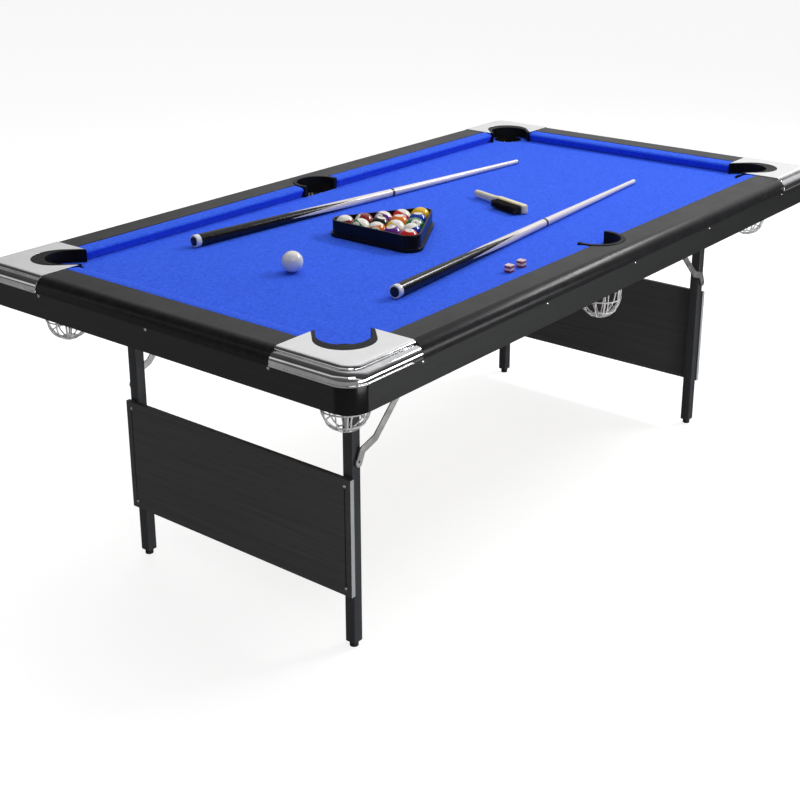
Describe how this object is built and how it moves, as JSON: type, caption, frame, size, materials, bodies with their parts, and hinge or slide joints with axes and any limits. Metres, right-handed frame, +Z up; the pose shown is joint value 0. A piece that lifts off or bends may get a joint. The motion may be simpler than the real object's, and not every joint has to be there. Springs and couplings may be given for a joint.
{
  "type": "folding pool table",
  "caption": "Folding home pool table with blue cloth, black rails, bright corner caps, wire pocket baskets and fold-flat panelled legs, with balls, rack, cues, brush and chalk on it.",
  "frame": {"origin": "on the floor under the middle of the table", "axes": "+X along the table from the head end to the foot end, +Y across it from the near side to the far side, +Z up"},
  "size_m": [2.141, 1.161, 0.8293],
  "materials": {
    "bed_mdf": "raw board",
    "bed_cloth": "napped cloth",
    "rail_vinyl": "satin vinyl wrap",
    "cushion_cloth": "napped cloth over rubber",
    "apron_laminate": "satin black laminate",
    "corner_plastic": "glossy",
    "cap_chrome": "polished, level top satin",
    "liner_plastic": "moulded, semi-gloss",
    "basket_wire": "white coated wire",
    "screw_steel": "zinc plated",
    "frame_wood": "raw pine",
    "bracket_steel": "black powder coat",
    "bolt_steel": "zinc plated",
    "leg_paint": "satin black powder coat",
    "panel_laminate": "matt charcoal laminate, light edges",
    "pad_rubber": "moulded",
    "stay_steel": "bare, rolled",
    "cue_ball_resin": "polished",
    "ball_resin": "polished, several colours",
    "rack_plastic": "moulded",
    "cue_lacquer": "lacquered",
    "brush_beech": "raw beech",
    "brush_bristle": "nylon bristle",
    "chalk_paper": "paper-wrapped chalk"
  },
  "bodies": {
    "table": {"head_bed_board": "bed_mdf", "foot_bed_board": "bed_mdf", "bed_cloth": "bed_cloth", "near_rail": "rail_vinyl", "far_rail": "rail_vinyl", "head_rail": "rail_vinyl", "foot_rail": "rail_vinyl", "near_head_cushion": "cushion_cloth", "near_foot_cushion": "cushion_cloth", "far_head_cushion": "cushion_cloth", "far_foot_cushion": "cushion_cloth", "head_cushion": "cushion_cloth", "foot_cushion": "cushion_cloth", "near_apron": "apron_laminate", "far_apron": "apron_laminate", "head_apron": "apron_laminate", "foot_apron": "apron_laminate", "apron_corners": "corner_plastic", "near_head_corner_cap": "cap_chrome", "near_foot_corner_cap": "cap_chrome", "far_foot_corner_cap": "cap_chrome", "far_head_corner_cap": "cap_chrome", "near_head_corner_liner": "liner_plastic", "near_foot_corner_liner": "liner_plastic", "far_foot_corner_liner": "liner_plastic", "far_head_corner_liner": "liner_plastic", "near_side_liner": "liner_plastic", "far_side_liner": "liner_plastic", "near_head_basket": "basket_wire", "near_foot_basket": "basket_wire", "far_foot_basket": "basket_wire", "far_head_basket": "basket_wire", "near_side_basket": "basket_wire", "far_side_basket": "basket_wire", "apron_screws": "screw_steel", "bed_stringers": "frame_wood", "cross_battens": "frame_wood", "leg_hinge_brackets": "bracket_steel", "leg_hinge_bolts": "bolt_steel", "stay_tracks": "bracket_steel"},
    "head_legs": {"head_leg_frame": "leg_paint", "head_leg_panel": "panel_laminate", "head_foot_pads": "pad_rubber", "head_leg_fasteners": "screw_steel"},
    "foot_legs": {"foot_leg_frame": "leg_paint", "foot_leg_panel": "panel_laminate", "foot_foot_pads": "pad_rubber", "foot_leg_fasteners": "screw_steel"},
    "near_head_stay": {"near_head_stay": "stay_steel"},
    "near_foot_stay": {"near_foot_stay": "stay_steel"},
    "far_foot_stay": {"far_foot_stay": "stay_steel"},
    "far_head_stay": {"far_head_stay": "stay_steel"},
    "far_cue": {"far_cue": "cue_lacquer"},
    "near_cue": {"near_cue": "cue_lacquer"},
    "rack": {"rack": "rack_plastic"},
    "object_balls": {"object_balls": "ball_resin"},
    "cue_ball": {"cue_ball": "cue_ball_resin"},
    "brush": {"brush_block": "brush_beech", "brush_hair": "brush_bristle"},
    "chalk": {"chalk_cubes": "chalk_paper"}
  },
  "joints": [
    {"name": "head_leg_fold", "type": "hinge", "parent": "table", "child": "head_legs", "pos_m": [-0.805, 0, 0.7395], "axis": [0, -1, 0], "range_deg": [0, 90]},
    {"name": "foot_leg_fold", "type": "hinge", "parent": "table", "child": "foot_legs", "pos_m": [0.805, 0, 0.7395], "axis": [0, 1, 0], "range_deg": [0, 90]},
    {"name": "near_head_stay_turn", "type": "hinge", "parent": "head_legs", "child": "near_head_stay", "pos_m": [-0.805, -0.3675, 0.468], "axis": [0, -1, 0], "range_deg": [-132.4, 0]},
    {"name": "near_foot_stay_turn", "type": "hinge", "parent": "foot_legs", "child": "near_foot_stay", "pos_m": [0.805, -0.3675, 0.468], "axis": [0, 1, 0], "range_deg": [-132.4, 0]},
    {"name": "far_foot_stay_turn", "type": "hinge", "parent": "foot_legs", "child": "far_foot_stay", "pos_m": [0.805, 0.3675, 0.468], "axis": [0, 1, 0], "range_deg": [-132.4, 0]},
    {"name": "far_head_stay_turn", "type": "hinge", "parent": "head_legs", "child": "far_head_stay", "pos_m": [-0.805, 0.3675, 0.468], "axis": [0, -1, 0], "range_deg": [-132.4, 0]},
    {"name": "far_cue_lift", "type": "slide", "parent": "table", "child": "far_cue", "axis": [0, 0, 1], "range_m": [0, 0.15]},
    {"name": "near_cue_lift", "type": "slide", "parent": "table", "child": "near_cue", "axis": [0, 0, 1], "range_m": [0, 0.15]},
    {"name": "rack_lift", "type": "slide", "parent": "table", "child": "rack", "axis": [0, 0, 1], "range_m": [0, 0.15]},
    {"name": "object_balls_lift", "type": "slide", "parent": "table", "child": "object_balls", "axis": [0, 0, 1], "range_m": [0, 0.15]},
    {"name": "cue_ball_lift", "type": "slide", "parent": "table", "child": "cue_ball", "axis": [0, 0, 1], "range_m": [0, 0.15]},
    {"name": "brush_lift", "type": "slide", "parent": "table", "child": "brush", "axis": [0, 0, 1], "range_m": [0, 0.15]},
    {"name": "chalk_lift", "type": "slide", "parent": "table", "child": "chalk", "axis": [0, 0, 1], "range_m": [0, 0.15]}
  ],
  "couplings": [
    {"joint": "near_head_stay_turn", "follows": "head_leg_fold", "ratio": -1.4683},
    {"joint": "near_foot_stay_turn", "follows": "foot_leg_fold", "ratio": -1.4683},
    {"joint": "far_foot_stay_turn", "follows": "foot_leg_fold", "ratio": -1.4683},
    {"joint": "far_head_stay_turn", "follows": "head_leg_fold", "ratio": -1.4683}
  ]
}
